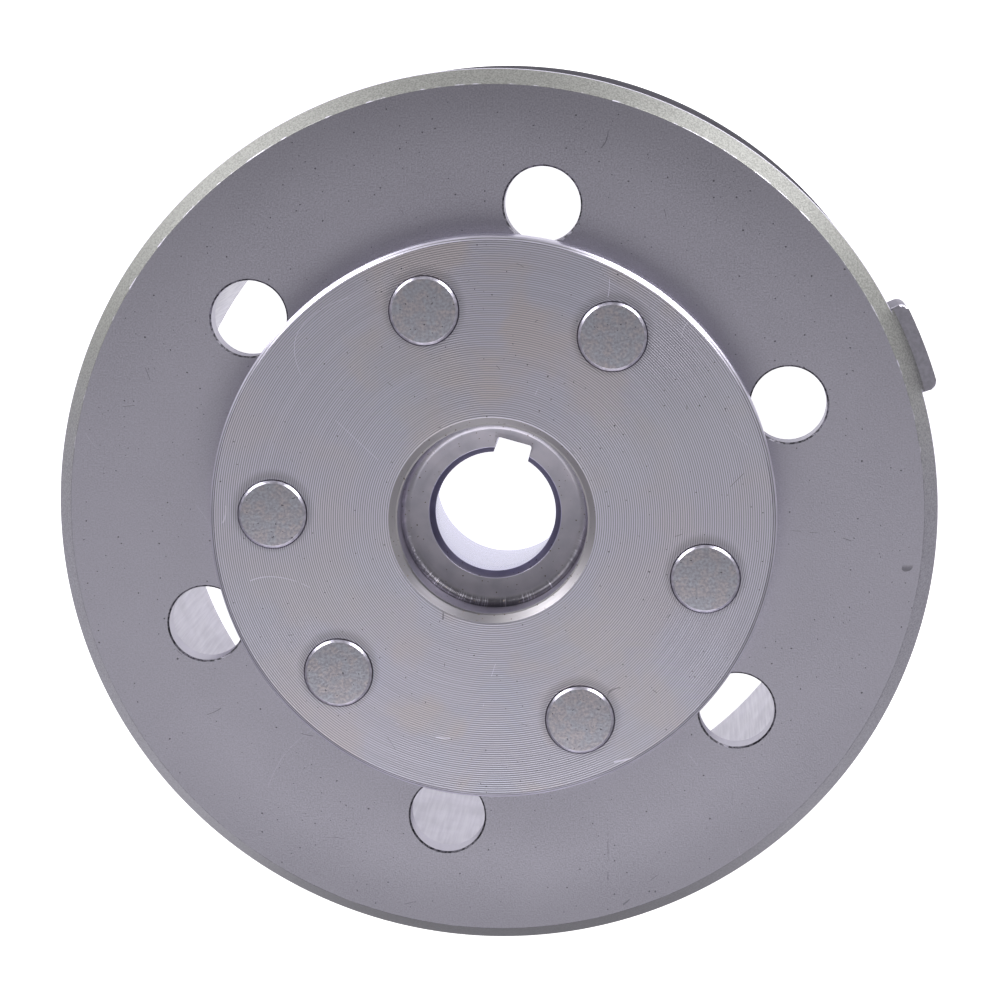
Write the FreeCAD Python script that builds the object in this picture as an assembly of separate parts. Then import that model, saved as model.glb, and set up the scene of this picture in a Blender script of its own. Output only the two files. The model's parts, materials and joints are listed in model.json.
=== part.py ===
"""Magneto flywheel rotor for a small engine: a steel cup with a riveted, keyed hub and a ring of magnets.

Millimetres. The axis is +Z and the origin is on it, at the outer face of the cup's end plate.
The closed face looks up (+Z) and the open rim looks down (-Z), towards the engine.
"""
import FreeCAD, Part
import math
import os

from FreeCAD import Vector

# Cup: one forging of end plate, wall and trigger lug
CUP_RADIUS = 62.0
WALL_THICKNESS = 5.0
PLATE_THICKNESS = 4.0
CUP_DEPTH = 37.0
BEVEL_WIDTH = 2.1
BEVEL_DEPTH = 2.8
INSIDE_CORNER_RADIUS = 2.0
RIM_CHAMFER = 0.6

# Six holes through the end plate
PLATE_HOLE_PITCH_RADIUS = 43.9
PLATE_HOLE_RADIUS = 5.3
PLATE_HOLE_COUNT = 6
PLATE_HOLE_START = 21.0
HOLE_EDGE_CHAMFER = 0.25

# Trigger lug on the outside of the wall
LUG_ANGLE = 21.8
LUG_ARC_LENGTH = 12.7
LUG_HEIGHT = 2.3
LUG_TOP = -3.3
LUG_BOTTOM = -12.8
LUG_CORNER_RADIUS = 1.1
LUG_EDGE_ROUNDING = 0.3

# Hub: a flange on the closed face and a barrel through the plate
FLANGE_RADIUS = 39.45
FLANGE_THICKNESS = 4.8
FLANGE_CHAMFER = 0.65
BARREL_RADIUS = 17.5
BARREL_END = -32.6
BARREL_CHAMFER = 0.8
SLIP_GAP = 0.02

# Recess for the nut and its washer, in the top of the hub
SEAT_Z = -2.4
RECESS_RADIUS = 13.25
RECESS_CHAMFER = 0.95
RECESS_LEDGE = 0.25
SEAT_CORNER_RADIUS = 1.4

# Bore: a short parallel land, then a taper that opens towards the engine
LAND_RADIUS = 8.5
LAND_TOP = -3.7
LAND_END = -7.1
BORE_EDGE_RADIUS = 9.35
TAPER_ON_DIAMETER = 1.0 / 6.0
KEYWAY_WIDTH = 5.0
KEYWAY_DEPTH = 2.05
KEYWAY_ANGLE = 74.5
KEYWAY_CORNER_RADIUS = 0.35

# Rivets: three pairs that clamp the flange to the plate
RIVET_ANGLES = (57.0, 107.5, 178.5, 225.0, 293.5, 345.0)
RIVET_PITCH_RADIUS = 30.6
RIVET_SHANK_RADIUS = 3.2
RIVET_HOLE_GAP = 0.05
RIVET_HEAD_RADIUS = 4.75
RIVET_HEAD_SEAT = 2.6
RIVET_HEAD_PROUD = 0.5
RIVET_HEAD_CHAMFER = 0.35
RIVET_TAIL_RADIUS = 5.2
RIVET_TAIL_HEIGHT = 2.2

# Magnet ring: arc magnets in a moulded cage, behind a thin steel liner
MAGNET_COUNT = 12
MAGNET_INNER_RADIUS = 50.0
MAGNET_OUTER_RADIUS = 56.85
MAGNET_TOP = -6.05
MAGNET_BOTTOM = -34.0
MAGNET_EDGE_CHAMFER = 0.5
CAGE_FINGER_WIDTH = 3.4
CAGE_RING_OUTER_RADIUS = 54.8
CAGE_RING_THICKNESS = 2.0
CAGE_SIDE_GAP = 0.05
LINER_INNER_RADIUS = 49.4
LINER_THICKNESS = 0.5
LINER_LIP_RADIUS = 52.0
LINER_BEND_RADIUS = 1.0
LINER_LIP_GAP = 0.05

# Working values: how far a cutter or a joined piece reaches past the face it meets, and what counts as equal
OVERRUN = 1.0
TOLERANCE = 1e-6

AXIS = Vector(0, 0, 1)
ORIGIN = Vector(0, 0, 0)
PLATE_BACK = -PLATE_THICKNESS
RIM_Z = -CUP_DEPTH
CUP_INNER_RADIUS = CUP_RADIUS - WALL_THICKNESS
LINER_END = MAGNET_BOTTOM - LINER_LIP_GAP - LINER_THICKNESS


def on_circle(radius, degrees):
    """The point at that radius and angle about the axis, level with the origin."""
    turn = math.radians(degrees)
    return Vector(radius * math.cos(turn), radius * math.sin(turn), 0)


def cylinder(radius, bottom, top, centre=ORIGIN):
    """An upright cylinder between two heights."""
    return Part.makeCylinder(radius, top - bottom, Vector(centre.x, centre.y, bottom), AXIS)


def tube(inner, outer, bottom, top):
    """A plain ring about the axis."""
    return cylinder(outer, bottom, top).cut(cylinder(inner, bottom - OVERRUN, top + OVERRUN))


def revolve(outline, centre=ORIGIN):
    """Turns a closed outline of (radius, z) points about an upright axis.

    A pair of points gives a straight edge. A point with a third value is the middle of an arc from the
    point before it to the point after it.
    """
    edges = []
    points = list(outline) + [outline[0]]
    at = 0
    while at < len(points) - 1:
        start = Vector(points[at][0], 0, points[at][1])
        if len(points[at + 1]) == 3:
            middle = Vector(points[at + 1][0], 0, points[at + 1][1])
            end = Vector(points[at + 2][0], 0, points[at + 2][1])
            edges.append(Part.Arc(start, middle, end).toShape())
            at += 2
        else:
            end = Vector(points[at + 1][0], 0, points[at + 1][1])
            edges.append(Part.LineSegment(start, end).toShape())
            at += 1
    solid = Part.Face(Part.Wire(edges)).revolve(ORIGIN, AXIS, 360)
    solid.translate(centre)
    return solid


def arc_middle(centre_radius, centre_z, radius, degrees):
    """The middle point of an outline's arc, in the form that revolve takes."""
    turn = math.radians(degrees)
    return (centre_radius + radius * math.cos(turn), centre_z + radius * math.sin(turn), "arc")


def chamfered_hole(radius, chamfer, bottom, top, centre):
    """A cutter for a through hole whose two edges are broken."""
    return revolve([
        (0, bottom - OVERRUN),
        (radius + chamfer + OVERRUN, bottom - OVERRUN),
        (radius, bottom + chamfer),
        (radius, top - chamfer),
        (radius + chamfer + OVERRUN, top + OVERRUN),
        (0, top + OVERRUN),
    ], centre)


def cup_profile():
    """The cup's section, from the hub hole out over the bevel, down the wall and back inside."""
    inner_corner = (CUP_INNER_RADIUS - INSIDE_CORNER_RADIUS, PLATE_BACK - INSIDE_CORNER_RADIUS)
    return [
        (BARREL_RADIUS + SLIP_GAP, 0),
        (CUP_RADIUS - BEVEL_WIDTH, 0),
        (CUP_RADIUS, -BEVEL_DEPTH),
        (CUP_RADIUS, RIM_Z + RIM_CHAMFER),
        (CUP_RADIUS - RIM_CHAMFER, RIM_Z),
        (CUP_INNER_RADIUS + RIM_CHAMFER, RIM_Z),
        (CUP_INNER_RADIUS, RIM_Z + RIM_CHAMFER),
        (CUP_INNER_RADIUS, inner_corner[1]),
        arc_middle(inner_corner[0], inner_corner[1], INSIDE_CORNER_RADIUS, 45),
        (inner_corner[0], PLATE_BACK),
        (BARREL_RADIUS + SLIP_GAP, PLATE_BACK),
    ]


def bevel_run_on():
    """The sliver of the lug that carries the bevel's slope on, past the wall, to the lug's flat top."""
    run = (-BEVEL_DEPTH - LUG_TOP) * BEVEL_WIDTH / BEVEL_DEPTH
    half_length = LUG_ARC_LENGTH / 2 - LUG_EDGE_ROUNDING
    ring = revolve([
        (CUP_RADIUS - OVERRUN, -BEVEL_DEPTH),
        (CUP_RADIUS, -BEVEL_DEPTH),
        (CUP_RADIUS + run, LUG_TOP),
        (CUP_RADIUS + run, LUG_TOP - OVERRUN),
        (CUP_RADIUS - OVERRUN, LUG_TOP - OVERRUN),
    ])
    footprint = Part.makeBox(CUP_RADIUS + LUG_HEIGHT, 2 * half_length, CUP_DEPTH,
                             Vector(0, -half_length, -CUP_DEPTH))
    return ring.common(footprint)


def trigger_lug():
    """A raised pad, the pickup coil's target: a flat top, rounded ends and a curved outer face."""
    root = CUP_RADIUS - OVERRUN
    outer = CUP_RADIUS + LUG_HEIGHT
    half_length = LUG_ARC_LENGTH / 2
    height = LUG_TOP - LUG_BOTTOM
    depth = outer + OVERRUN - root
    block = Part.makeBox(depth, LUG_ARC_LENGTH, height, Vector(root, -half_length, LUG_BOTTOM))
    block = block.common(cylinder(outer, LUG_BOTTOM, LUG_TOP))
    corners = [edge for edge in block.Edges
               if abs(edge.BoundBox.ZLength - height) < TOLERANCE and edge.BoundBox.XMin > CUP_RADIUS]
    block = block.makeFillet(LUG_CORNER_RADIUS, corners)
    rims = [edge for edge in block.Edges
            if edge.BoundBox.ZLength < TOLERANCE and edge.BoundBox.XMax > CUP_RADIUS]
    block = block.makeFillet(LUG_EDGE_ROUNDING, rims).fuse(bevel_run_on())
    block.rotate(ORIGIN, AXIS, LUG_ANGLE)
    return block


def plate_hole_centres():
    """The centres of the six holes near the plate's edge."""
    step = 360.0 / PLATE_HOLE_COUNT
    return [on_circle(PLATE_HOLE_PITCH_RADIUS, PLATE_HOLE_START + step * k) for k in range(PLATE_HOLE_COUNT)]


def rivet_centres():
    """The centres of the six rivets."""
    return [on_circle(RIVET_PITCH_RADIUS, degrees) for degrees in RIVET_ANGLES]


def cup_shell():
    """End plate, wall and lug, with the plate's holes."""
    shell = revolve(cup_profile()).fuse(trigger_lug()).removeSplitter()
    for centre in plate_hole_centres():
        shell = shell.cut(chamfered_hole(PLATE_HOLE_RADIUS, HOLE_EDGE_CHAMFER, PLATE_BACK, 0, centre))
    rivet_hole_radius = RIVET_SHANK_RADIUS + RIVET_HOLE_GAP
    for centre in rivet_centres():
        shell = shell.cut(cylinder(rivet_hole_radius, PLATE_BACK - OVERRUN, OVERRUN, centre))
    return shell


def taper_radius(z):
    """The bore's radius at a height below the parallel land."""
    return LAND_RADIUS + (LAND_END - z) * TAPER_ON_DIAMETER / 2


def hub_profile():
    """The hub's section, from the bore's small end round the recess, flange and barrel."""
    chamfer_floor = FLANGE_THICKNESS - RECESS_CHAMFER
    ledge_radius = RECESS_RADIUS + RECESS_LEDGE
    corner = (RECESS_RADIUS - SEAT_CORNER_RADIUS, SEAT_Z + SEAT_CORNER_RADIUS)
    return [
        (LAND_RADIUS, LAND_TOP),
        (BORE_EDGE_RADIUS, SEAT_Z),
        (corner[0], SEAT_Z),
        arc_middle(corner[0], corner[1], SEAT_CORNER_RADIUS, -45),
        (RECESS_RADIUS, corner[1]),
        (RECESS_RADIUS, chamfer_floor),
        (ledge_radius, chamfer_floor),
        (ledge_radius + RECESS_CHAMFER, FLANGE_THICKNESS),
        (FLANGE_RADIUS - FLANGE_CHAMFER, FLANGE_THICKNESS),
        (FLANGE_RADIUS, FLANGE_THICKNESS - FLANGE_CHAMFER),
        (FLANGE_RADIUS, 0),
        (BARREL_RADIUS, 0),
        (BARREL_RADIUS, BARREL_END + BARREL_CHAMFER),
        (BARREL_RADIUS - BARREL_CHAMFER, BARREL_END),
        (taper_radius(BARREL_END), BARREL_END),
        (LAND_RADIUS, LAND_END),
    ]


def keyway():
    """A cutter for the key's slot. Its floor runs parallel to the taper, and straight past the land."""
    low = BARREL_END - OVERRUN
    floor_at_land = LAND_RADIUS + KEYWAY_DEPTH
    side = [
        Vector(0, -KEYWAY_WIDTH / 2, SEAT_Z + OVERRUN),
        Vector(floor_at_land, -KEYWAY_WIDTH / 2, SEAT_Z + OVERRUN),
        Vector(floor_at_land, -KEYWAY_WIDTH / 2, LAND_END),
        Vector(taper_radius(low) + KEYWAY_DEPTH, -KEYWAY_WIDTH / 2, low),
        Vector(0, -KEYWAY_WIDTH / 2, low),
    ]
    slot = Part.Face(Part.makePolygon(side + [side[0]])).extrude(Vector(0, KEYWAY_WIDTH, 0))
    corners = [edge for edge in slot.Edges
               if edge.BoundBox.YLength < TOLERANCE and edge.BoundBox.XMin >= floor_at_land - TOLERANCE]
    slot = slot.makeFillet(KEYWAY_CORNER_RADIUS, corners)
    slot.rotate(ORIGIN, AXIS, KEYWAY_ANGLE)
    return slot


def hub():
    """Flange, barrel, keyed bore and nut recess in one forging."""
    body = revolve(hub_profile()).cut(keyway())
    shank_radius = RIVET_SHANK_RADIUS + RIVET_HOLE_GAP
    head_radius = RIVET_HEAD_RADIUS + RIVET_HOLE_GAP
    for centre in rivet_centres():
        shank = cylinder(shank_radius, -OVERRUN, RIVET_HEAD_SEAT + OVERRUN, centre)
        head = cylinder(head_radius, RIVET_HEAD_SEAT, FLANGE_THICKNESS + OVERRUN, centre)
        body = body.cut(shank).cut(head)
    return body


def rivet(centre):
    """A rivet: sunk head almost level with the flange, shank, and a domed tail inside the cup."""
    head_top = FLANGE_THICKNESS + RIVET_HEAD_PROUD
    tail_end = PLATE_BACK - RIVET_TAIL_HEIGHT
    dome_radius = (RIVET_TAIL_RADIUS ** 2 + RIVET_TAIL_HEIGHT ** 2) / (2 * RIVET_TAIL_HEIGHT)
    dome_angle = math.degrees(math.asin(RIVET_TAIL_RADIUS / dome_radius)) / 2
    return revolve([
        (0, head_top),
        (RIVET_HEAD_RADIUS - RIVET_HEAD_CHAMFER, head_top),
        (RIVET_HEAD_RADIUS, head_top - RIVET_HEAD_CHAMFER),
        (RIVET_HEAD_RADIUS, RIVET_HEAD_SEAT),
        (RIVET_SHANK_RADIUS, RIVET_HEAD_SEAT),
        (RIVET_SHANK_RADIUS, PLATE_BACK),
        (RIVET_TAIL_RADIUS, PLATE_BACK),
        arc_middle(0, tail_end + dome_radius, dome_radius, dome_angle - 90),
        (0, tail_end),
    ], centre)


def finger_solid(number, gap, bottom, top):
    """The bar between two neighbouring magnets, grown by a gap on both sides."""
    half = CAGE_FINGER_WIDTH / 2 + gap
    bar = Part.makeBox(CUP_RADIUS, 2 * half, top - bottom, Vector(0, -half, bottom))
    bar.rotate(ORIGIN, AXIS, (number + 0.5) * 360.0 / MAGNET_COUNT)
    return bar


def magnet_ring():
    """All the magnets before they are parted: a ring with broken edges at its inner face."""
    return revolve([
        (MAGNET_INNER_RADIUS, MAGNET_TOP - MAGNET_EDGE_CHAMFER),
        (MAGNET_INNER_RADIUS + MAGNET_EDGE_CHAMFER, MAGNET_TOP),
        (MAGNET_OUTER_RADIUS - MAGNET_EDGE_CHAMFER, MAGNET_TOP),
        (MAGNET_OUTER_RADIUS, MAGNET_TOP - MAGNET_EDGE_CHAMFER),
        (MAGNET_OUTER_RADIUS, MAGNET_BOTTOM + MAGNET_EDGE_CHAMFER),
        (MAGNET_OUTER_RADIUS - MAGNET_EDGE_CHAMFER, MAGNET_BOTTOM),
        (MAGNET_INNER_RADIUS + MAGNET_EDGE_CHAMFER, MAGNET_BOTTOM),
        (MAGNET_INNER_RADIUS, MAGNET_BOTTOM + MAGNET_EDGE_CHAMFER),
    ])


def angle_of(piece):
    """The angle of a solid's centre about the axis, counted from a hair before +X so that +X comes first."""
    return (math.atan2(piece.CenterOfMass.y, piece.CenterOfMass.x) + TOLERANCE) % (2 * math.pi)


def magnets():
    """The arc magnets, in order of angle."""
    ring = magnet_ring()
    for number in range(MAGNET_COUNT):
        ring = ring.cut(finger_solid(number, CAGE_SIDE_GAP, MAGNET_BOTTOM - OVERRUN, MAGNET_TOP + OVERRUN))
    pieces = list(ring.Solids)
    pieces.sort(key=angle_of)
    return pieces


def magnet_cage():
    """A moulded ring on the plate with a finger between each pair of magnets."""
    ring_bottom = PLATE_BACK - CAGE_RING_THICKNESS
    cage = tube(MAGNET_INNER_RADIUS, CAGE_RING_OUTER_RADIUS, ring_bottom, PLATE_BACK)
    room = tube(MAGNET_INNER_RADIUS, MAGNET_OUTER_RADIUS, MAGNET_BOTTOM, ring_bottom)
    for number in range(MAGNET_COUNT):
        cage = cage.fuse(room.common(finger_solid(number, 0, MAGNET_BOTTOM, ring_bottom)))
    return cage.removeSplitter()


def inner_liner():
    """A thin sleeve over the magnets' inner faces, with a lip turned out over their open ends."""
    outer = LINER_INNER_RADIUS + LINER_THICKNESS
    lip_top = LINER_END + LINER_THICKNESS
    bend = (LINER_INNER_RADIUS + LINER_BEND_RADIUS, LINER_END + LINER_BEND_RADIUS)
    inner_bend = LINER_BEND_RADIUS - LINER_THICKNESS
    return revolve([
        (LINER_INNER_RADIUS, PLATE_BACK),
        (LINER_INNER_RADIUS, bend[1]),
        arc_middle(bend[0], bend[1], LINER_BEND_RADIUS, 225),
        (bend[0], LINER_END),
        (LINER_LIP_RADIUS, LINER_END),
        (LINER_LIP_RADIUS, lip_top),
        (bend[0], lip_top),
        arc_middle(bend[0], bend[1], inner_bend, 225),
        (outer, bend[1]),
        (outer, PLATE_BACK),
    ])


def build():
    """Every node's name and solid."""
    nodes = {
        "cup_shell": cup_shell(),
        "hub": hub(),
        "magnet_cage": magnet_cage(),
        "inner_liner": inner_liner(),
    }
    for number, centre in enumerate(rivet_centres(), start=1):
        nodes[f"rivet_{number}"] = rivet(centre)
    for number, magnet in enumerate(magnets(), start=1):
        nodes[f"magnet_{number:02d}"] = magnet
    return nodes


os.makedirs("parts", exist_ok=True)
for node, shape in build().items():
    shape.exportStep(f"parts/{node}.step")
    box = shape.BoundBox
    print(f"{node:14s} solids {len(shape.Solids)} valid {shape.isValid()} volume {shape.Volume:10.1f}"
          f"  z {box.ZMin:7.2f} to {box.ZMax:6.2f}")
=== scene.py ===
import json
import math

import bmesh
import bpy
from mathutils import Matrix, Vector


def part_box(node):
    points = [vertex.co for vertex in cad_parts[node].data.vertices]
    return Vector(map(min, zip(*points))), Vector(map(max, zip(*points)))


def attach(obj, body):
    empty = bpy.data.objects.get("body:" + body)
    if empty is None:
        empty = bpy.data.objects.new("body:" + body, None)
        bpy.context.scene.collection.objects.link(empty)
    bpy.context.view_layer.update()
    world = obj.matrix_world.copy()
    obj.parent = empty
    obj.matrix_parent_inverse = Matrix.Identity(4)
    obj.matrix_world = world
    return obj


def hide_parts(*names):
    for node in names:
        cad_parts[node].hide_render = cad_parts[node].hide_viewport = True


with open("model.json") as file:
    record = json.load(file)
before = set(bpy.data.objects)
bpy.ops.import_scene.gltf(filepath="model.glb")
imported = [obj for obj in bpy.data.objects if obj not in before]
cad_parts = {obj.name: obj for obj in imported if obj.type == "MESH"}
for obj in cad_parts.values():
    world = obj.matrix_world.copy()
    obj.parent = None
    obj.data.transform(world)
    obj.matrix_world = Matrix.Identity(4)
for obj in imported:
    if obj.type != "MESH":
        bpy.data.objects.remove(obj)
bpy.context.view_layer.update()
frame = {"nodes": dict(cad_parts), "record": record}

MOUNTS = {mount["name"]: mount for mount in frame["record"]["mounts"]}
MM = 0.001
BODY = "root"
RIVETS = [f"rivet_{number}" for number in range(1, 7)]
MAGNETS = [f"magnet_{number:02d}" for number in range(1, 13)]


def mount_size(mount, name):
    """A mount's stated size, in metres."""
    return MOUNTS[mount]["dims"][name] * MM


# Sizes from the frame
CUP_LOW, CUP_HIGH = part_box("cup_shell")
HUB_LOW, HUB_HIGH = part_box("hub")
CUP_RADIUS = CUP_HIGH.x
RIM_Z = CUP_LOW.z
PLATE_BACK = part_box("inner_liner")[1].z
FLANGE_RADIUS = HUB_HIGH.x
FLANGE_TOP = HUB_HIGH.z
BARREL_END = HUB_LOW.z
SEAT_Z = MOUNTS["washer_seat"]["pos_m"][2]
RECESS_RADIUS = mount_size("nut_recess", "r_mm")
LAND_RADIUS = mount_size("crank_land", "r_mm")
LAND_MIDDLE = MOUNTS["crank_land"]["pos_m"][2]
LAND_HALF = mount_size("crank_land", "length_mm") / 2
LAND_TOP = LAND_MIDDLE + LAND_HALF
LAND_END = LAND_MIDDLE - LAND_HALF
BORE_MOUTH_RADIUS = mount_size("crank_taper", "r_mm")
HOLE_RADIUS = mount_size("plate_holes", "hole_r_mm")
HOLE_PITCH_RADIUS = mount_size("plate_holes", "pcd_mm") / 2
HOLE_COUNT = int(MOUNTS["plate_holes"]["dims"]["count"])
LUG_FACE = Vector(MOUNTS["trigger_lug"]["pos_m"])
LUG_RADIUS = LUG_FACE.xy.length
LUG_ANGLE = math.atan2(LUG_FACE.y, LUG_FACE.x)

# Details that the frame has in its meshes but doesn't state
WALL = 5.0 * MM
BEVEL_WIDTH = 2.1 * MM
BEVEL_DEPTH = 2.8 * MM
INSIDE_CORNER = 2.0 * MM
RIM_CHAMFER = 0.6 * MM
HOLE_START = math.radians(21.0)
HOLE_CHAMFER = 0.25 * MM
LUG_LENGTH = 12.7 * MM
LUG_TOP = -3.3 * MM
LUG_BOTTOM = -12.8 * MM
LUG_CORNER = 1.1 * MM
LUG_EDGE = 0.3 * MM
FLANGE_CHAMFER = 0.65 * MM
BARREL_RADIUS = 17.5 * MM
BARREL_CHAMFER = 0.8 * MM
SLIP_GAP = 0.02 * MM
RECESS_CHAMFER = 0.95 * MM
RECESS_LEDGE = 0.25 * MM
SEAT_CORNER = 1.4 * MM
BORE_EDGE_RADIUS = 9.35 * MM
KEY_WIDTH = 5.0 * MM
KEY_DEPTH = 2.05 * MM
KEY_CORNER = 0.35 * MM
KEY_ANGLE = math.radians(74.5)
SHANK_RADIUS = 3.2 * MM
HEAD_RADIUS = 4.75 * MM
HEAD_SEAT = 2.6 * MM
HEAD_CHAMFER = 0.35 * MM
HEAD_GAP = 0.05 * MM

# Rounding of the edges, and how finely curves are cut
FINE_EDGE = 0.06 * MM
SOFT_EDGE = 0.12 * MM
WORN_EDGE = 0.40 * MM
ARC_STEPS = 4
CURVE_STEPS = 10
HOLE_STEPS = 128
TURNED_STEPS = 512
SHARP_ANGLE = math.radians(30)

# Working values: how far a cutter or a joined piece reaches past the face it meets, and what radius counts
# as being on the axis
OVERRUN = 1.0 * MM
ON_AXIS = 0.001 * MM

# The least upward part of a face's normal for it to count as level, as a rivet's flat head, or as leaning up
LEVEL_FACE = 0.95
HEAD_FACE = 0.97
LEANING_FACE = 0.1

# Wear, dirt, tool marks and painted shade
FLANGE_SHADE_WIDTH = 6.0 * MM
PLATE_SHADE_FROM = 49.0 * MM
PLATE_SHADE_TO = 60.0 * MM
LUG_CLEAR_FROM = 8.0 * MM
LUG_CLEAR_TO = 8.6 * MM
GROOVE_PITCH = 0.31 * MM
HALO_WIDTH = 1.4 * MM
HALO_SHIFT = 0.5 * MM
STAIN_WAY = (-0.57, -0.82, 0.0)
CHATTER_ANGLE = 1 / 70

# Camera and floor
CAMERA_PLACE = Vector((26.145, 66.294, 406.614)) * MM
CAMERA_TARGET = Vector((0.850, 2.198, 0.0)) * MM
CAMERA_ROLL = math.radians(-0.278)
CAMERA_LENS = 106.06
FLOOR_HALF = 3.0
GLOW_HALF = 84 * MM
GLOW_FADE = 45 * MM
GLOW_CORNER_POWER = 6.0


# ---------------------------------------------------------------- meshes

def rounded(outline):
    """The outline's points. A corner with a third value is turned into an arc of that radius."""
    points = []
    for at, corner in enumerate(outline):
        here = Vector(corner[:2])
        if len(corner) == 2:
            points.append(here)
            continue
        radius = corner[2]
        back = (Vector(outline[at - 1][:2]) - here).normalized()
        ahead = (Vector(outline[(at + 1) % len(outline)][:2]) - here).normalized()
        half = back.angle(ahead) / 2
        centre = here + (back + ahead).normalized() * radius / math.sin(half)
        start = here + back * radius / math.tan(half) - centre
        end = here + ahead * radius / math.tan(half) - centre
        for step in range(ARC_STEPS + 1):
            points.append(centre + start.lerp(end, step / ARC_STEPS).normalized() * radius)
    return points


def turn(mesh, outline, centre=Vector((0, 0)), steps=TURNED_STEPS):
    """Adds to the mesh a closed (radius, z) outline turned about an upright axis."""
    rings = []
    for radius, z in rounded(outline):
        if radius < ON_AXIS:
            rings.append([mesh.verts.new((centre.x, centre.y, z))] * steps)
            continue
        ring = []
        for step in range(steps):
            angle = 2 * math.pi * step / steps
            ring.append(mesh.verts.new((
                centre.x + radius * math.cos(angle),
                centre.y + radius * math.sin(angle),
                z,
            )))
        rings.append(ring)
    for at, ring in enumerate(rings):
        last = rings[at - 1]
        for step in range(steps):
            after = (step + 1) % steps
            corners = list(dict.fromkeys((last[step], last[after], ring[after], ring[step])))
            if len(corners) > 2:
                mesh.faces.new(corners)


def extrude(mesh, outline, low, high):
    """Adds to the mesh an upright prism on an (x, y) outline."""
    points = rounded(outline)
    floor = [mesh.verts.new((x, y, low)) for x, y in points]
    roof = [mesh.verts.new((x, y, high)) for x, y in points]
    mesh.faces.new(floor)
    mesh.faces.new(roof)
    for at in range(len(points)):
        mesh.faces.new((floor[at - 1], floor[at], roof[at], roof[at - 1]))


def make(name, mesh):
    """The mesh as an object in the scene, with its faces looking outward."""
    bmesh.ops.recalc_face_normals(mesh, faces=mesh.faces)
    data = bpy.data.meshes.new(name)
    mesh.to_mesh(data)
    mesh.free()
    piece = bpy.data.objects.new(name, data)
    bpy.context.scene.collection.objects.link(piece)
    return piece


def combine(piece, tool, operation):
    """Cuts the tool from the piece, or joins it on, and throws the tool away."""
    modifier = piece.modifiers.new("combine", "BOOLEAN")
    modifier.object = tool
    modifier.operation = operation
    modifier.solver = "EXACT"
    bpy.context.view_layer.update()
    result = bpy.data.meshes.new_from_object(piece.evaluated_get(bpy.context.evaluated_depsgraph_get()))
    piece.modifiers.clear()
    piece.data = result
    bpy.data.objects.remove(tool)


def on_circle(radius, angle):
    """The (x, y) point at that radius and angle about the axis."""
    return Vector((radius * math.cos(angle), radius * math.sin(angle)))


def rivet_centres():
    """Where the rivets stand."""
    centres = []
    for name in RIVETS:
        low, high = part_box(name)
        centres.append(((low + high) / 2).xy)
    return centres


def cup_outline():
    """The cup's section."""
    return [
        (BARREL_RADIUS + SLIP_GAP, 0),
        (CUP_RADIUS - BEVEL_WIDTH, 0, SOFT_EDGE),
        (CUP_RADIUS, -BEVEL_DEPTH, WORN_EDGE),
        (CUP_RADIUS, RIM_Z + RIM_CHAMFER, SOFT_EDGE),
        (CUP_RADIUS - RIM_CHAMFER, RIM_Z, SOFT_EDGE),
        (CUP_RADIUS - WALL + RIM_CHAMFER, RIM_Z, SOFT_EDGE),
        (CUP_RADIUS - WALL, RIM_Z + RIM_CHAMFER, SOFT_EDGE),
        (CUP_RADIUS - WALL, PLATE_BACK, INSIDE_CORNER),
        (BARREL_RADIUS + SLIP_GAP, PLATE_BACK),
    ]


def bevel_run_on():
    """The sliver of the lug that carries the bevel's slope on, past the wall, to the lug's flat top.

    It starts a little way in, on the slope, because the wall's corner is rounded off.
    """
    run = (-BEVEL_DEPTH - LUG_TOP) * BEVEL_WIDTH / BEVEL_DEPTH
    start = WORN_EDGE / 5
    start_z = -BEVEL_DEPTH + start * BEVEL_DEPTH / BEVEL_WIDTH
    ring = bmesh.new()
    turn(ring, [
        (CUP_RADIUS - OVERRUN, start_z),
        (CUP_RADIUS - start, start_z),
        (CUP_RADIUS + run, LUG_TOP),
        (CUP_RADIUS + run, LUG_TOP - OVERRUN),
        (CUP_RADIUS - OVERRUN, LUG_TOP - OVERRUN),
    ])
    half = LUG_LENGTH / 2 - LUG_EDGE
    footprint = bmesh.new()
    extrude(footprint, [(0, -half), (LUG_RADIUS, -half), (LUG_RADIUS, half), (0, half)], LUG_BOTTOM, 0)
    footprint.transform(Matrix.Rotation(LUG_ANGLE, 4, "Z"))
    piece = make("bevel_run_on", ring)
    combine(piece, make("footprint", footprint), "INTERSECT")
    return piece


def lug():
    """The pickup's target on the cup's wall: a flat top, rounded ends and a curved outer face."""
    root = CUP_RADIUS - OVERRUN
    half = LUG_LENGTH / 2
    corner = math.sqrt(LUG_RADIUS ** 2 - half ** 2)
    swing = math.asin((half - LUG_CORNER) / LUG_RADIUS)
    outline = [(root, -half), (corner, -half, LUG_CORNER)]
    for step in range(CURVE_STEPS + 1):
        point = on_circle(LUG_RADIUS, swing * (2 * step / CURVE_STEPS - 1))
        outline.append((point.x, point.y))
    outline += [(corner, half, LUG_CORNER), (root, half)]
    mesh = bmesh.new()
    extrude(mesh, outline, LUG_BOTTOM, LUG_TOP)
    rims = [edge for edge in mesh.edges
            if abs(edge.verts[0].co.z - edge.verts[1].co.z) < FINE_EDGE
            and max(vert.co.x for vert in edge.verts) > CUP_RADIUS]
    bmesh.ops.bevel(mesh, geom=rims, offset=LUG_EDGE, segments=ARC_STEPS, profile=0.5, affect="EDGES")
    mesh.transform(Matrix.Rotation(LUG_ANGLE, 4, "Z"))
    piece = make("lug", mesh)
    combine(piece, bevel_run_on(), "UNION")
    return piece


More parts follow.
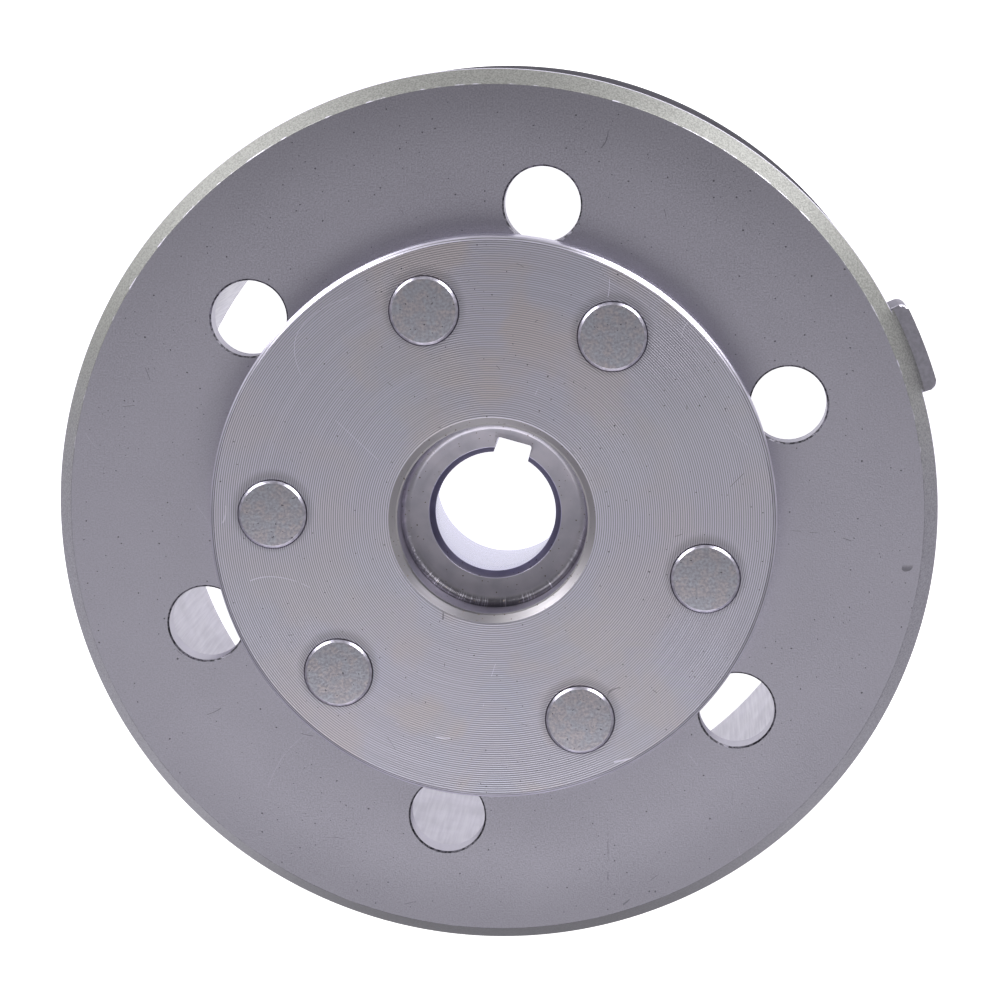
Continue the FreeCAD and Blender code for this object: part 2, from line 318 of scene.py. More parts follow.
def cup():
    """End plate, bevelled wall and lug, with the plate's holes cut through."""
    mesh = bmesh.new()
    turn(mesh, cup_outline())
    piece = make("cup", mesh)
    combine(piece, lug(), "UNION")
    holes = bmesh.new()
    below = PLATE_BACK - OVERRUN
    mouth = HOLE_RADIUS + HOLE_CHAMFER + OVERRUN
    for number in range(HOLE_COUNT):
        turn(holes, [
            (0, below),
            (mouth, below),
            (HOLE_RADIUS, PLATE_BACK + HOLE_CHAMFER, FINE_EDGE),
            (HOLE_RADIUS, -HOLE_CHAMFER, FINE_EDGE),
            (mouth, OVERRUN),
            (0, OVERRUN),
        ], on_circle(HOLE_PITCH_RADIUS, HOLE_START + 2 * math.pi * number / HOLE_COUNT), HOLE_STEPS)
    shank = SHANK_RADIUS + HEAD_GAP
    for centre in rivet_centres():
        turn(holes, [(0, below), (shank, below), (shank, OVERRUN), (0, OVERRUN)], centre, HOLE_STEPS)
    combine(piece, make("holes", holes), "DIFFERENCE")
    return piece


def hub_outline():
    """The hub's section, from the bore round the recess, the flange and the barrel."""
    chamfer_floor = FLANGE_TOP - RECESS_CHAMFER
    return [
        (LAND_RADIUS, LAND_TOP, FINE_EDGE),
        (BORE_EDGE_RADIUS, SEAT_Z, FINE_EDGE),
        (RECESS_RADIUS, SEAT_Z, SEAT_CORNER),
        (RECESS_RADIUS, chamfer_floor, FINE_EDGE),
        (RECESS_RADIUS + RECESS_LEDGE, chamfer_floor, FINE_EDGE),
        (RECESS_RADIUS + RECESS_LEDGE + RECESS_CHAMFER, FLANGE_TOP, SOFT_EDGE),
        (FLANGE_RADIUS - FLANGE_CHAMFER, FLANGE_TOP, SOFT_EDGE),
        (FLANGE_RADIUS, FLANGE_TOP - FLANGE_CHAMFER, SOFT_EDGE),
        (FLANGE_RADIUS, 0),
        (BARREL_RADIUS, 0),
        (BARREL_RADIUS, BARREL_END + BARREL_CHAMFER, SOFT_EDGE),
        (BARREL_RADIUS - BARREL_CHAMFER, BARREL_END, SOFT_EDGE),
        (BORE_MOUTH_RADIUS, BARREL_END, SOFT_EDGE),
        (LAND_RADIUS, LAND_END),
    ]


def keyway():
    """A cutter for the key's slot, with its floor parallel to the taper."""
    half = KEY_WIDTH / 2
    floor = LAND_RADIUS + KEY_DEPTH
    slope = (BORE_MOUTH_RADIUS - LAND_RADIUS) / (LAND_END - BARREL_END)
    low = BARREL_END - OVERRUN
    levels = [(SEAT_Z + OVERRUN, floor), (LAND_END, floor), (low, floor + slope * (LAND_END - low))]
    mesh = bmesh.new()
    rings = []
    for z, depth in levels:
        points = rounded([(0, -half), (depth, -half, KEY_CORNER), (depth, half, KEY_CORNER), (0, half)])
        rings.append([mesh.verts.new((x, y, z)) for x, y in points])
    mesh.faces.new(rings[0])
    mesh.faces.new(rings[-1])
    for upper, lower in zip(rings, rings[1:]):
        for at in range(len(upper)):
            mesh.faces.new((upper[at - 1], upper[at], lower[at], lower[at - 1]))
    mesh.transform(Matrix.Rotation(KEY_ANGLE, 4, "Z"))
    return make("keyway", mesh)


def hub():
    """Flange, barrel, keyed bore and nut recess."""
    mesh = bmesh.new()
    turn(mesh, hub_outline())
    piece = make("hub_forging", mesh)
    combine(piece, keyway(), "DIFFERENCE")
    seats = bmesh.new()
    shank = SHANK_RADIUS + HEAD_GAP
    head = HEAD_RADIUS + HEAD_GAP
    lip = FLANGE_TOP - 2 * FINE_EDGE
    for centre in rivet_centres():
        turn(seats, [
            (0, -OVERRUN),
            (shank, -OVERRUN),
            (shank, HEAD_SEAT),
            (head, HEAD_SEAT),
            (head, lip, FINE_EDGE),
            (head + OVERRUN, lip + OVERRUN),
            (0, lip + OVERRUN),
        ], centre, HOLE_STEPS)
    combine(piece, make("seats", seats), "DIFFERENCE")
    return piece


def rivet(node, centre):
    """A rivet with a sunk head, a shank and a domed tail."""
    low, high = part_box(node)
    tail_radius = (high.x - low.x) / 2
    tail_height = PLATE_BACK - low.z
    dome = (tail_radius ** 2 + tail_height ** 2) / (2 * tail_height)
    swing = math.asin(tail_radius / dome)
    outline = [
        (0, high.z),
        (HEAD_RADIUS - HEAD_CHAMFER, high.z, SOFT_EDGE),
        (HEAD_RADIUS, high.z - HEAD_CHAMFER, SOFT_EDGE),
        (HEAD_RADIUS, HEAD_SEAT),
        (SHANK_RADIUS, HEAD_SEAT),
        (SHANK_RADIUS, PLATE_BACK),
    ]
    for step in range(CURVE_STEPS):
        angle = swing * (1 - step / CURVE_STEPS)
        outline.append((dome * math.sin(angle), low.z + dome - dome * math.cos(angle)))
    outline.append((0, low.z))
    mesh = bmesh.new()
    turn(mesh, outline, centre, HOLE_STEPS)
    return make(f"{node}_detailed", mesh)


def smooth(piece):
    """Smooth shading, with sharp edges kept sharp and flat faces kept flat."""
    for polygon in piece.data.polygons:
        polygon.use_smooth = True
    piece.data.set_sharp_from_angle(angle=SHARP_ANGLE)
    modifier = piece.modifiers.new("weighted_normals", "WEIGHTED_NORMAL")
    modifier.keep_sharp = True


def dress(piece, materials, pick):
    """Gives the piece its materials, and each face the one that pick names."""
    names = list(materials)
    piece.data.materials.clear()
    for name in names:
        piece.data.materials.append(materials[name])
    for polygon in piece.data.polygons:
        radius = polygon.center.xy.length
        polygon.material_index = names.index(pick(radius, polygon.center.z, polygon.normal))


# ------------------------------------------------------------- materials

class Paint:
    """A material's nodes, with short calls for those used here. Lengths are in metres.

    place is the point on the object, radius its distance from the axis and way its direction from the axis.
    front runs from 1 on the -Y side to -1 on the +Y side, and sideways from 1 on both X sides to 0 between.
    """

    def __init__(self, name, metallic=1.0):
        self.material = bpy.data.materials.new(name)
        self.material.use_nodes = True
        self.tree = self.material.node_tree
        self.shader = self.tree.nodes["Principled BSDF"]
        self.shader.inputs["Metallic"].default_value = metallic
        self.place = self.add("ShaderNodeTexCoord").outputs["Object"]
        flat = self.add("ShaderNodeVectorMath", self.place, (1, 1, 0), operation="MULTIPLY").outputs[0]
        self.radius = self.add("ShaderNodeVectorMath", flat, operation="LENGTH").outputs["Value"]
        self.way = self.add("ShaderNodeVectorMath", flat, operation="NORMALIZE").outputs[0]
        turned = self.add("ShaderNodeSeparateXYZ", self.way)
        self.sideways = self.math("MULTIPLY", turned.outputs["X"], turned.outputs["X"])
        self.front = self.math("MULTIPLY", turned.outputs["Y"], -1.0)
        self.z = self.add("ShaderNodeSeparateXYZ", self.place).outputs["Z"]
        self.heights = []

    def feed(self, socket, value):
        """Links a socket to another, or sets its value."""
        if isinstance(value, bpy.types.NodeSocket):
            self.tree.links.new(value, socket)
        else:
            socket.default_value = value

    def add(self, kind, *values, **settings):
        """A new node with its settings and its first inputs."""
        node = self.tree.nodes.new(kind)
        for key, value in settings.items():
            setattr(node, key, value)
        for socket, value in zip(node.inputs, values):
            self.feed(socket, value)
        return node

    def math(self, operation, *values):
        """A Math node's output."""
        return self.add("ShaderNodeMath", *values, operation=operation).outputs[0]

    def ramp(self, value, start, end, low=0.0, high=1.0):
        """Low up to start and high from end on, with a smooth step between."""
        node = self.add("ShaderNodeMapRange", value, start, end, low, high, interpolation_type="SMOOTHSTEP")
        return node.outputs[0]

    def stretch(self, x, y, z):
        """The place scaled along each axis, so that noise on it runs in streaks."""
        return self.add("ShaderNodeVectorMath", self.place, (x, y, z), operation="MULTIPLY").outputs[0]

    def distance(self, point):
        """How far the place is from a point."""
        return self.add("ShaderNodeVectorMath", self.place, point, operation="DISTANCE").outputs["Value"]

    def noise(self, size, detail=2.0, place=None, shift=0.0):
        """Noise about 0.5 with features of that size."""
        place = place or self.place
        if shift:
            offset = (shift, shift, shift)
            place = self.add("ShaderNodeVectorMath", place, offset, operation="ADD").outputs[0]
        node = self.add("ShaderNodeTexNoise")
        self.feed(node.inputs["Vector"], place)
        node.inputs["Scale"].default_value = 1 / size
        node.inputs["Detail"].default_value = detail
        return node.outputs["Fac"]

    def ringed(self, size):
        """Noise in rings about the axis: fine across the radius, slow round the circle."""
        scaled = self.math("MULTIPLY", self.radius, 1 / size)
        rise = self.add("ShaderNodeCombineXYZ", 0.0, 0.0, scaled).outputs[0]
        place = self.add("ShaderNodeVectorMath", self.way, rise, operation="ADD").outputs[0]
        return self.noise(1.0, 2.0, place)

    def line(self, value, middle, width):
        """1 where the value is at the middle, falling to 0 at the width from it."""
        return self.ramp(self.math("ABSOLUTE", self.math("SUBTRACT", value, middle)), 0.0, width, 1.0, 0.0)

    def hairs(self, size, length, width, amount, shift):
        """Thin scratches: where one noise crosses its middle, kept in a few short stretches."""
        thin = self.line(self.noise(size, 0.0, shift=shift), 0.5, width)
        kept = self.ramp(self.noise(length, 1.0, shift=shift + 0.37), 1 - amount, 1.02 - amount)
        return self.math("MULTIPLY", thin, kept)

    def specks(self, size, amount, shift):
        """Small round marks, scattered."""
        return self.ramp(self.noise(size, 0.0, shift=shift), 1 - amount, 1.03 - amount)

    def mix(self, factor, first, second):
        """One colour laid over another. A Mix node's colours are its inputs 6 and 7 and its output 2."""
        node = self.add("ShaderNodeMix", data_type="RGBA")
        self.feed(node.inputs[0], factor)
        self.feed(node.inputs[6], first)
        self.feed(node.inputs[7], second)
        return node.outputs[2]

    def raise_by(self, height, amount):
        """Adds a height, in metres, to the bump."""
        self.heights.append(self.math("MULTIPLY", height, amount))

    def finish(self, colour, roughness):
        """Feeds the shader, and returns the material."""
        self.feed(self.shader.inputs["Base Color"], colour)
        self.feed(self.shader.inputs["Roughness"], roughness)
        total = self.heights[0]
        for height in self.heights[1:]:
            total = self.math("ADD", total, height)
        bump = self.add("ShaderNodeBump")
        bump.inputs["Distance"].default_value = 1.0
        self.feed(bump.inputs["Height"], total)
        self.feed(self.shader.inputs["Normal"], bump.outputs[0])
        return self.material


def grey(level, warm=0.0):
    """A steel grey with a slight lavender cast, or warmer."""
    return (level * (1.04 + warm), level, level * (1.17 - warm), 1.0)


def blasted_steel():
    """The end plate: fine bead-blasted steel with specks and a few hair scratches, painted lighter towards
    both X sides and painted with shade near the flange at the back and near the rim at the back and front.
    """
    paint = Paint("blasted_steel")
    grain = paint.noise(0.22 * MM, 2.0)
    cloud = paint.noise(14 * MM, 3.0)
    colour = paint.mix(paint.ramp(cloud, 0.3, 0.7), grey(0.335), grey(0.37))
    colour = paint.mix(paint.ramp(grain, 0.25, 0.75), colour, grey(0.49))
    # Painted light: the plate is lighter towards both X sides.
    colour = paint.mix(paint.math("MULTIPLY", paint.sideways, 0.34), colour, grey(0.60))
    # Painted shade: a soft dark band round the flange on its +Y side.
    near_flange = paint.ramp(paint.radius, FLANGE_RADIUS, FLANGE_RADIUS + FLANGE_SHADE_WIDTH, 1.0, 0.0)
    flange_shade = paint.math("MULTIPLY", near_flange, paint.ramp(paint.front, -0.7, 0.1, 0.42, 0.0))
    colour = paint.mix(flange_shade, colour, grey(0.20))
    # Painted shade: the plate darkens towards the rim at the back and front, not at the X sides.
    near_bevel = paint.ramp(paint.radius, PLATE_SHADE_FROM, PLATE_SHADE_TO, 0.0, 0.42)
    outer_shade = paint.math("MULTIPLY", near_bevel, paint.math("SUBTRACT", 1.0, paint.sideways))
    colour = paint.mix(outer_shade, colour, grey(0.20))
    colour = paint.mix(paint.specks(0.45 * MM, 0.19, 3.1), colour, grey(0.16))
    hair = paint.math("MULTIPLY", paint.hairs(34 * MM, 7 * MM, 0.0011, 0.42, 7.7), 0.6)
    colour = paint.mix(hair, colour, grey(0.66))
    dark_hair = paint.math("MULTIPLY", paint.hairs(16 * MM, 3 * MM, 0.0022, 0.36, 11.4), 0.7)
    colour = paint.mix(dark_hair, colour, grey(0.14))
    paint.raise_by(grain, 0.024 * MM)
    paint.raise_by(paint.noise(1.1 * MM, 1.0, shift=1.3), 0.006 * MM)
    return paint.finish(colour, paint.ramp(grain, 0.2, 0.8, 0.44, 0.52))


def bevel_steel():
    """The bevel: a granular bright cut, neutral at the back and lavender in front, with painted shade in
    front and painted highlights along its inner edge at the back and along its outer edge.
    """
    paint = Paint("bevel_steel")
    grain = paint.noise(0.26 * MM, 3.0)
    neutral_cut = paint.mix(paint.ramp(grain, 0.3, 0.7), (0.275, 0.275, 0.265, 1.0), (0.41, 0.41, 0.395, 1.0))
    lavender_cut = paint.mix(paint.ramp(grain, 0.3, 0.7), grey(0.28), grey(0.40))
    # Neutral at the back and lavender in front, then painted shade, darkest at the front.
    colour = paint.mix(paint.ramp(paint.front, -0.5, 0.1), neutral_cut, lavender_cut)
    colour = paint.mix(paint.ramp(paint.front, 0.1, 0.8, 0.0, 0.28), colour, grey(0.08))
    colour = paint.mix(paint.ramp(paint.front, 0.70, 1.0, 0.0, 0.70), colour, grey(0.08))
    inner_edge = CUP_RADIUS - BEVEL_WIDTH
    # Painted highlight: bright dashes like nicks along the inner edge, kept to the back.
    edge = paint.ramp(paint.radius, inner_edge + 0.03 * MM, inner_edge + 0.16 * MM, 1.0, 0.0)
    nicked_highlight = paint.math("MULTIPLY", edge, paint.ramp(paint.noise(2.6 * MM, 5.0, shift=5.0), 0.50, 0.64))
    nicked_highlight = paint.math("MULTIPLY", nicked_highlight, paint.ramp(paint.front, -0.35, 0.0, 1.0, 0.1))
    colour = paint.mix(nicked_highlight, colour, grey(0.8))
    # Painted highlight: a bright line along the outer edge, kept to the back and clear of the lug.
    outer = paint.ramp(paint.radius, CUP_RADIUS - 0.12 * MM, CUP_RADIUS - 0.04 * MM)
    outer = paint.math("MULTIPLY", outer, paint.ramp(paint.front, -0.2, 0.2, 1.0, 0.1))
    clear_of_lug = paint.ramp(paint.distance(tuple(LUG_FACE)), LUG_CLEAR_FROM, LUG_CLEAR_TO)
    colour = paint.mix(paint.math("MULTIPLY", outer, clear_of_lug), colour, grey(0.75))
    paint.raise_by(grain, 0.022 * MM)
    return paint.finish(colour, 0.42)


def pressed_steel():
    """The lug's top: smooth pressed steel."""
    paint = Paint("pressed_steel")
    grain = paint.noise(0.5 * MM, 2.0)
    colour = paint.mix(paint.ramp(grain, 0.3, 0.7), grey(0.39), grey(0.47))
    paint.raise_by(grain, 0.012 * MM)
    return paint.finish(colour, 0.42)


def stained_steel():
    """The broken edges of the plate's holes: dark, unrubbed steel."""
    paint = Paint("stained_steel")
    grain = paint.noise(0.5 * MM, 2.0)
    colour = paint.mix(paint.ramp(grain, 0.4, 0.6), grey(0.05), grey(0.20))
    paint.raise_by(grain, 0.010 * MM)
    return paint.finish(colour, 0.5)


def rubbed_steel():
    """Corners rubbed bright: the rims of the rivets and of the lug."""
    paint = Paint("rubbed_steel")
    grain = paint.noise(0.7 * MM, 2.0)
    colour = paint.mix(paint.ramp(grain, 0.35, 0.65), grey(0.48), grey(0.66))
    paint.raise_by(grain, 0.004 * MM)
    return paint.finish(colour, paint.ramp(grain, 0.3, 0.7, 0.28, 0.36))


def flange_edge_steel():
    """The flange's chamfer and side: bright, with painted dark reflection lines in the chamfer and at its
    inner edge.
    """
    paint = Paint("flange_edge_steel")
    lines = paint.noise(0.25 * MM, 2.0, paint.stretch(0.04, 0.04, 1.0))
    colour = paint.mix(paint.ramp(lines, 0.3, 0.7), grey(0.66), grey(0.84))
    inner_edge = FLANGE_RADIUS - FLANGE_CHAMFER
    # Painted reflection: dark lines at the chamfer's inner edge and along its middle.
    colour = paint.mix(paint.line(paint.radius, inner_edge, 0.16 * MM), colour, grey(0.07))
    reflection_line = paint.line(paint.radius, FLANGE_RADIUS - FLANGE_CHAMFER / 2, 0.14 * MM)
    colour = paint.mix(paint.math("MULTIPLY", reflection_line, 0.8), colour, grey(0.16))
    paint.raise_by(lines, 0.004 * MM)
    return paint.finish(colour, paint.ramp(lines, 0.3, 0.7, 0.28, 0.36))


def wall_steel(name, level, edge_level):
    """The cup's or the lug's side: phosphated steel with turning marks, set far darker on the cup's wall as
    painted shade.
    The edge level is how much it shines when it is seen at a low angle.
    """
    paint = Paint(name)
    lines = paint.noise(0.25 * MM, 2.0, paint.stretch(0.02, 0.02, 1.0))
    grain = paint.noise(0.35 * MM, 2.0)
    cloud = paint.ramp(paint.noise(9 * MM, 3.0), 0.3, 0.7)
    colour = paint.mix(cloud, grey(0.92 * level), grey(1.08 * level))
    colour = paint.mix(paint.ramp(lines, 0.35, 0.65, 0.0, 0.5), colour, grey(1.35 * level))
    paint.raise_by(lines, 0.010 * MM)
    paint.raise_by(grain, 0.012 * MM)
    paint.shader.inputs["Specular Tint"].default_value = (edge_level, edge_level, edge_level, 1.0)
    return paint.finish(colour, paint.ramp(lines, 0.3, 0.7, 0.6, 0.72))


def inner_steel():
    """Inside faces and hole walls: plain machined steel, faintly clouded."""
    paint = Paint("inner_steel")
    grain = paint.noise(0.30 * MM, 2.0)
    colour = paint.mix(paint.ramp(paint.noise(6 * MM, 3.0), 0.3, 0.7), grey(0.39), grey(0.44))
    colour = paint.mix(paint.ramp(grain, 0.3, 0.7, 0.0, 0.5), colour, grey(0.52))
    paint.raise_by(grain, 0.015 * MM)
    paint.raise_by(paint.ringed(0.18 * MM), 0.010 * MM)
    return paint.finish(colour, paint.ramp(grain, 0.3, 0.7, 0.38, 0.5))


def turned_steel():
    """The flange's face: concentric tool marks, faint tan and blue staining, painted light towards both X
    sides, and painted shade with some dirt round the rivets.
    """
    paint = Paint("turned_steel")
    groove = paint.math("SINE", paint.math("MULTIPLY", paint.radius, 2 * math.pi / GROOVE_PITCH))
    fine = paint.ringed(0.10 * MM)
    grain = paint.noise(0.25 * MM, 2.0)
    colour = paint.mix(paint.ramp(fine, 0.3, 0.7), grey(0.52), grey(0.64))
    stain = paint.ramp(paint.noise(13 * MM, 3.0, shift=4.4), 0.47, 0.62, 0.0, 0.55)
    colour = paint.mix(stain, colour, (0.67, 0.58, 0.56, 1.0))
    blue = paint.ramp(paint.noise(10 * MM, 2.0, shift=9.9), 0.50, 0.66, 0.0, 0.30)
    colour = paint.mix(blue, colour, (0.55, 0.57, 0.70, 1.0))
    # Painted light: the face is lighter towards both X sides.
    colour = paint.mix(paint.math("MULTIPLY", paint.sideways, 0.62), colour, grey(0.90))
    colour = paint.mix(paint.ramp(groove, -0.3, 1.0, 0.0, 0.72), colour, grey(0.27))
    # Painted shade with some dirt: a dark halo round each rivet head, shifted to its +Y side.
    for centre in rivet_centres():
        offset = paint.distance((centre.x, centre.y + HALO_SHIFT, FLANGE_TOP))
        shade_and_dirt_halo = paint.ramp(offset, HEAD_RADIUS, HEAD_RADIUS + HALO_WIDTH, 0.42, 0.0)
        colour = paint.mix(shade_and_dirt_halo, colour, grey(0.22))
    colour = paint.mix(paint.specks(0.4 * MM, 0.18, 8.8), colour, grey(0.16))
    hair = paint.math("MULTIPLY", paint.hairs(26 * MM, 5 * MM, 0.0014, 0.44, 6.1), 0.7)
    colour = paint.mix(hair, colour, grey(0.95))
    dark_hair = paint.math("MULTIPLY", paint.hairs(14 * MM, 2.5 * MM, 0.0026, 0.36, 12.3), 0.8)
    colour = paint.mix(dark_hair, colour, grey(0.12))
    paint.raise_by(groove, 0.008 * MM)
    paint.raise_by(fine, 0.0015 * MM)
    paint.raise_by(grain, 0.005 * MM)
    return paint.finish(colour, paint.ramp(fine, 0.3, 0.7, 0.38, 0.42))


def recess_steel():
    """The recess, the seat and the bore's edge: bright turned steel, with painted shade in its chattered
    corner and at the bore's edge, and a painted highlight on that edge.
    """
    paint = Paint("recess_steel")
    fine = paint.ringed(0.12 * MM)
    cloud = paint.ramp(paint.noise(3 * MM, 3.0), 0.3, 0.7)
    colour = paint.mix(cloud, grey(0.50), grey(0.59, 0.02))
    mouth = paint.ramp(paint.z, FLANGE_TOP - RECESS_CHAMFER - 0.1 * MM, FLANGE_TOP - RECESS_CHAMFER)
    colour = paint.mix(mouth, colour, (0.47, 0.45, 0.48, 1.0))
    toward = paint.add("ShaderNodeVectorMath", paint.way, STAIN_WAY, operation="DOT_PRODUCT")
    stain = paint.math("MULTIPLY", mouth, paint.ramp(toward.outputs["Value"], 0.70, 0.97, 0.0, 0.72))
    colour = paint.mix(stain, colour, grey(0.10))
    # Painted shade: a dark ring at the bore's edge, lighter in front.
    bore_edge_shade = paint.ramp(paint.radius, BORE_EDGE_RADIUS - 0.15 * MM, BORE_EDGE_RADIUS, 0.75, 0.0)
    bore_edge_shade = paint.math("MULTIPLY", bore_edge_shade, paint.ramp(paint.front, 0.3, 0.9, 1.0, 0.45))
    colour = paint.mix(bore_edge_shade, colour, (0.16, 0.15, 0.16, 1.0))
    # Painted highlight: a thin bright line on the bore's edge.
    edge_highlight = paint.math("MULTIPLY", paint.line(paint.radius, BORE_EDGE_RADIUS, 0.10 * MM), 0.8)
    colour = paint.mix(edge_highlight, colour, grey(0.85))
    rays = paint.noise(CHATTER_ANGLE, 1.0, paint.way)
    corner = paint.ramp(paint.z, SEAT_Z + SEAT_CORNER, SEAT_Z + SEAT_CORNER + 0.4 * MM, 1.0, 0.0)
    out = paint.ramp(paint.radius, RECESS_RADIUS - SEAT_CORNER, RECESS_RADIUS - SEAT_CORNER / 2)
    in_corner = paint.math("MULTIPLY", corner, out)
    chatter = paint.math("MULTIPLY", rays, in_corner)
    # Painted shade in the chattered corner, darkest in front and broken by the chatter.
    corner_shade = paint.math("MULTIPLY", in_corner, paint.ramp(paint.front, 0.0, 0.9, 0.3, 0.95))
    corner_shade = paint.math("MULTIPLY", corner_shade, paint.ramp(rays, 0.74, 0.58, 0.4, 1.0))
    colour = paint.mix(corner_shade, colour, grey(0.08, 0.02))
    colour = paint.mix(paint.specks(0.4 * MM, 0.22, 1.7), colour, (0.20, 0.17, 0.16, 1.0))
    paint.raise_by(fine, 0.006 * MM)
    paint.raise_by(chatter, 0.06 * MM)
    satin = paint.math("MULTIPLY", mouth, 0.16)
    return paint.finish(colour, paint.math("ADD", paint.ramp(fine, 0.3, 0.7, 0.30, 0.38), satin))


def bore_steel():
    """The tapered bore and the keyway: ground steel with fine lines round the bore."""
    paint = Paint("bore_steel")
    lines = paint.noise(0.2 * MM, 2.0, paint.stretch(0.03, 0.03, 1.0))
    colour = paint.mix(paint.ramp(lines, 0.3, 0.7), (0.46, 0.45, 0.60, 1.0), (0.58, 0.57, 0.72, 1.0))
    paint.raise_by(lines, 0.005 * MM)
    return paint.finish(colour, paint.ramp(lines, 0.3, 0.7, 0.26, 0.36))


def rivet_steel():
    """The rivets: a coarse matte face, mottled faintly pink and blue."""
    paint = Paint("rivet_steel")
    grain = paint.noise(0.38 * MM, 3.0)
    mottle = paint.ramp(paint.noise(1.6 * MM, 2.0, shift=2.6), 0.4, 0.6)
    tint = paint.mix(mottle, (0.57, 0.52, 0.55, 1.0), (0.51, 0.52, 0.59, 1.0))
    colour = paint.mix(paint.ramp(grain, 0.3, 0.7), grey(0.37), tint)
    colour = paint.mix(paint.specks(0.35 * MM, 0.2, 9.3), colour, grey(0.16))
    paint.raise_by(grain, 0.030 * MM)
    paint.raise_by(paint.noise(1.4 * MM, 1.0, shift=0.8), 0.02 * MM)
    return paint.finish(colour, 0.46)


def liner_steel():
    """The liner: smooth sheet with drawing lines."""
    paint = Paint("sheet_steel")
    lines = paint.noise(0.4 * MM, 2.0, paint.stretch(1.0, 1.0, 0.04))
    colour = paint.mix(paint.ramp(paint.noise(8 * MM, 3.0), 0.3, 0.7), grey(0.37), grey(0.44))
    paint.raise_by(lines, 0.004 * MM)
    return paint.finish(colour, paint.ramp(lines, 0.3, 0.7, 0.3, 0.42))


def ferrite():
    """The magnets: dense dark ceramic with a ground grain."""
    paint = Paint("ferrite", metallic=0.0)
    grain = paint.noise(0.30 * MM, 3.0)
    colour = paint.mix(paint.ramp(grain, 0.3, 0.7), (0.035, 0.033, 0.036, 1.0), (0.075, 0.070, 0.074, 1.0))
    colour = paint.mix(paint.specks(0.9 * MM, 0.27, 3.9), colour, (0.16, 0.15, 0.15, 1.0))
    paint.raise_by(grain, 0.04 * MM)
    return paint.finish(colour, paint.ramp(grain, 0.3, 0.7, 0.5, 0.65))


def moulded_plastic():
    """The magnets' cage: black moulded plastic with a fine spark texture."""
    paint = Paint("moulded_plastic", metallic=0.0)
    grain = paint.noise(0.18 * MM, 2.0)
    colour = paint.mix(paint.ramp(grain, 0.3, 0.7), (0.018, 0.018, 0.020, 1.0), (0.034, 0.034, 0.038, 1.0))
    paint.raise_by(grain, 0.02 * MM)
    return paint.finish(colour, paint.ramp(grain, 0.3, 0.7, 0.45, 0.6))


# ------------------------------------------------------------ the object

def pick_cup(radius, z, normal):
    """Which material a face of the cup takes."""
    if normal.z > LEVEL_FACE and z > -FINE_EDGE:
        return "plate"
    if radius > CUP_RADIUS + SOFT_EDGE and z < LUG_TOP + FINE_EDGE:
        return "lug_top" if normal.z > LEVEL_FACE else "rim" if normal.z > LEANING_FACE else "lug_side"
    if normal.z > LEANING_FACE:
        return "bevel" if radius > CUP_RADIUS - BEVEL_WIDTH - SOFT_EDGE else "hole_edge"
    if radius > CUP_RADIUS - SOFT_EDGE and z < -SOFT_EDGE:
        return "wall"
    return "inner"


def pick_hub(radius, z, normal):
    """Which material a face of the hub takes."""
    recess_edge = RECESS_RADIUS + RECESS_LEDGE + RECESS_CHAMFER - FINE_EDGE
    if radius > recess_edge and z > FINE_EDGE:
        return "edge" if normal.z < LEVEL_FACE and radius > FLANGE_RADIUS - 1.5 * FLANGE_CHAMFER else "face"
    if radius < LAND_RADIUS + 2 * KEY_DEPTH and z < LAND_TOP:
        return "bore"
    if radius < recess_edge and z > LAND_TOP - FINE_EDGE:
        return "recess"
    return "barrel"


def pick_rivet(radius, z, normal):
    """Which material a face of a rivet takes."""
    return "rim" if z > FLANGE_TOP - FINE_EDGE and normal.z < HEAD_FACE else "head"


def build_object():
    """Every piece of the flywheel."""
    inner = inner_steel()
    rim = rubbed_steel()
    piece = cup()
    dress(piece, {
        "plate": blasted_steel(),
        "bevel": bevel_steel(),
        "lug_top": pressed_steel(),
        "lug_side": wall_steel("lug_side_steel", 0.34, 0.30),
        "rim": rim,
        "hole_edge": stained_steel(),
        # Painted shade: the cup's wall is set very dark, with a dull edge, standing in for the dark
        # reflection it shows from above.
        "wall": wall_steel("wall_steel", 0.105, 0.05),
        "inner": inner,
    }, pick_cup)
    smooth(piece)
    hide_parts("cup_shell")
    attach(piece, BODY)

    piece = hub()
    dress(piece, {
        "face": turned_steel(),
        "edge": flange_edge_steel(),
        "recess": recess_steel(),
        "bore": bore_steel(),
        "barrel": inner,
    }, pick_hub)
    smooth(piece)
    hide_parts("hub")
    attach(piece, BODY)

    head_steel = rivet_steel()
    for node, centre in zip(RIVETS, rivet_centres()):
        piece = rivet(node, centre)
        dress(piece, {"head": head_steel, "rim": rim}, pick_rivet)
        smooth(piece)
        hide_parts(node)
        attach(piece, BODY)

    finishes = {"magnet_cage": moulded_plastic(), "inner_liner": liner_steel()}
    block = ferrite()
    for node in MAGNETS:
        finishes[node] = block
    for node, finish in finishes.items():
        for material_slot in frame["nodes"][node].material_slots:
            material_slot.material = finish


# ------------------------------------------------------- floor and light

